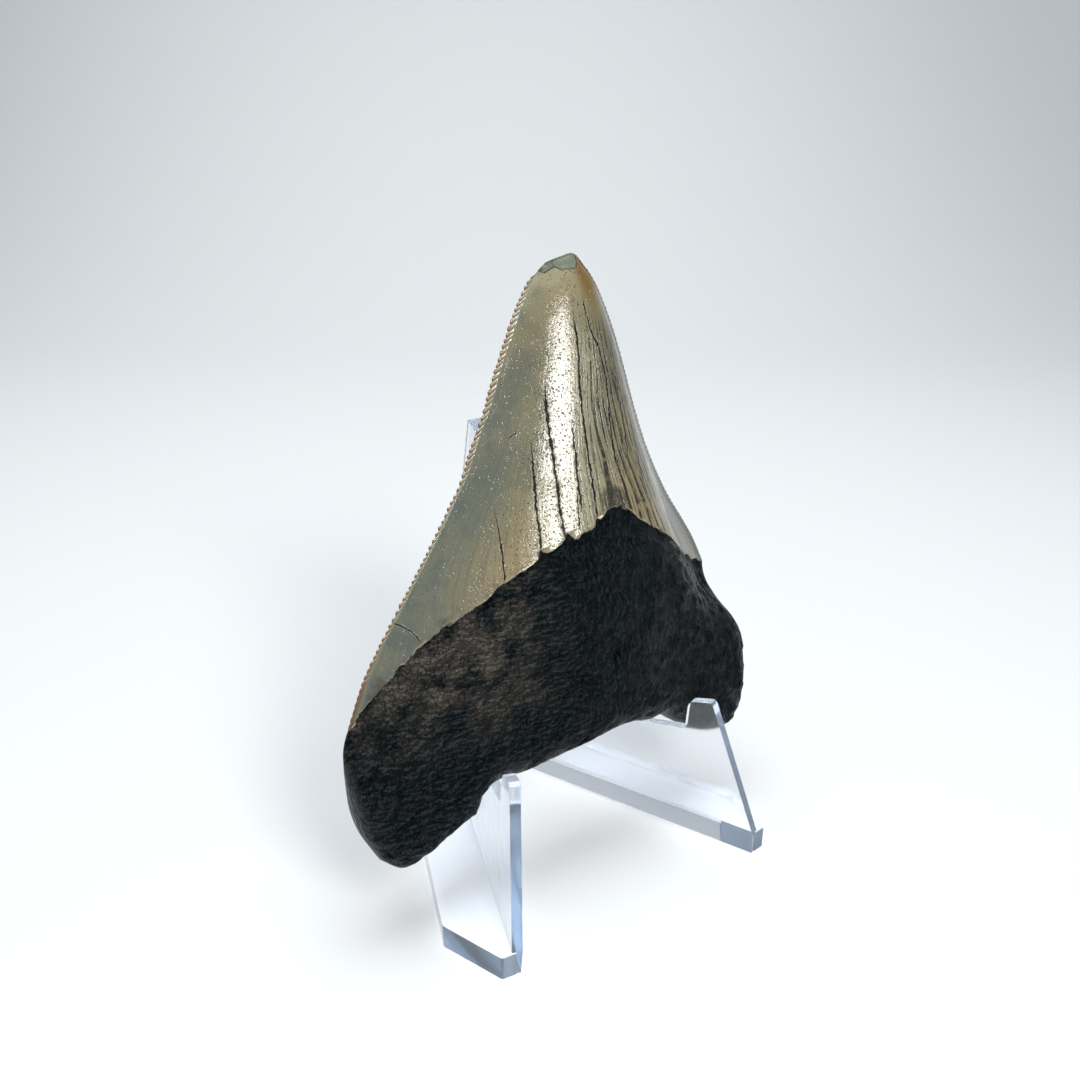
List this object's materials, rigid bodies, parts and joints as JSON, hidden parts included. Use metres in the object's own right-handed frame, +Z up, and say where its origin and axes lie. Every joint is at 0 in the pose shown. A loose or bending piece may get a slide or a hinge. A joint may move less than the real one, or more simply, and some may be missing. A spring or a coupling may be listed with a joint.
{
  "type": "megalodon tooth on a display stand",
  "caption": "Fossil megalodon tooth with a serrated grey-tan crown and a dark rough root, leaning back in a clear moulded V-shaped display stand.",
  "frame": {"origin": "on the surface the stand rests on, at the middle of the object's bounding box", "axes": "+Z up, -Y out of the front, towards which the tooth's lingual face looks, +X to the viewer's right when facing the front"},
  "size_m": [0.0656, 0.055, 0.0805],
  "materials": {
    "fossil_tooth": "mineralised enamel over a near-black satin root",
    "clear_plastic": "clear moulded polystyrene, bluish at its edges"
  },
  "bodies": {
    "root": {"megalodon_tooth": "fossil_tooth", "display_stand": "clear_plastic"}
  },
  "joints": []
}
